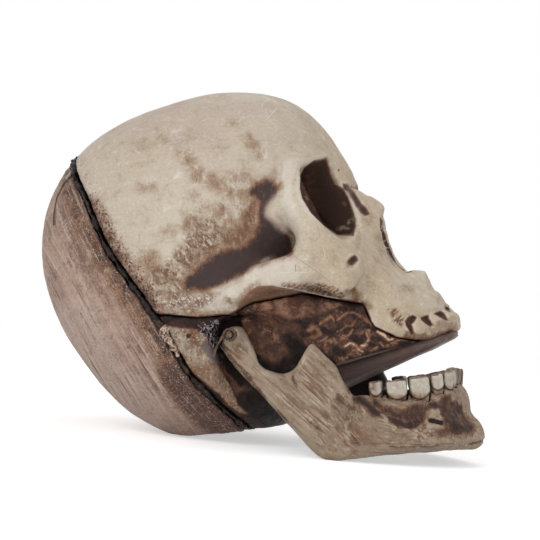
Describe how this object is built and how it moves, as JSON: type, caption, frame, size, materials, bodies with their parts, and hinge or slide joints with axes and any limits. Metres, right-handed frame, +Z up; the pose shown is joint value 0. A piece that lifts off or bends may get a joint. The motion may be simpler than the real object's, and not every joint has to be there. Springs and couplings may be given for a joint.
{
  "type": "articulated jaw skull",
  "caption": "Life-size hollow moulded human skull lying on its flat cut base, with a hinged lower jaw that opens and closes on side pins.",
  "frame": {"origin": "bottom centre of the bounding box, on the surface the skull lies on", "axes": "+X towards the face, +Y towards the skull's left side, +Z up"},
  "size_m": [0.2083, 0.1328, 0.1576],
  "materials": {
    "bone": "painted bone cream with brown washes",
    "stained_bone": "painted pinkish brown, brushed",
    "dark_base": "painted dark brown, mottled",
    "palate": "smooth dark paint",
    "jaw_bone": "painted bone with brown streaks",
    "tooth": "painted cream, low sheen",
    "adhesive": "set black adhesive",
    "steel": "plain steel"
  },
  "bodies": {
    "skull": {"face_shell": "bone", "rear_shell": "stained_bone", "base_shell": "dark_base", "seam_bead": "adhesive", "palate_plate": "palate", "hinge_pin_right": "steel", "hinge_pin_left": "steel", "hinge_tie_right": "steel", "hinge_tie_left": "steel"},
    "jaw": {"mandible": "jaw_bone", "rear_molar_right": "tooth", "middle_molar_right": "tooth", "front_molar_right": "tooth", "premolar_right": "tooth", "canine_right": "tooth", "outer_incisor_right": "tooth", "inner_incisor_right": "tooth", "rear_molar_left": "tooth", "middle_molar_left": "tooth", "front_molar_left": "tooth", "premolar_left": "tooth", "canine_left": "tooth", "outer_incisor_left": "tooth", "inner_incisor_left": "tooth"}
  },
  "joints": [
    {"name": "jaw_hinge", "type": "hinge", "parent": "skull", "child": "jaw", "pos_m": [-0.0008, 0, 0.0498], "axis": [0, 1, 0], "range_deg": [-11, 14]}
  ]
}
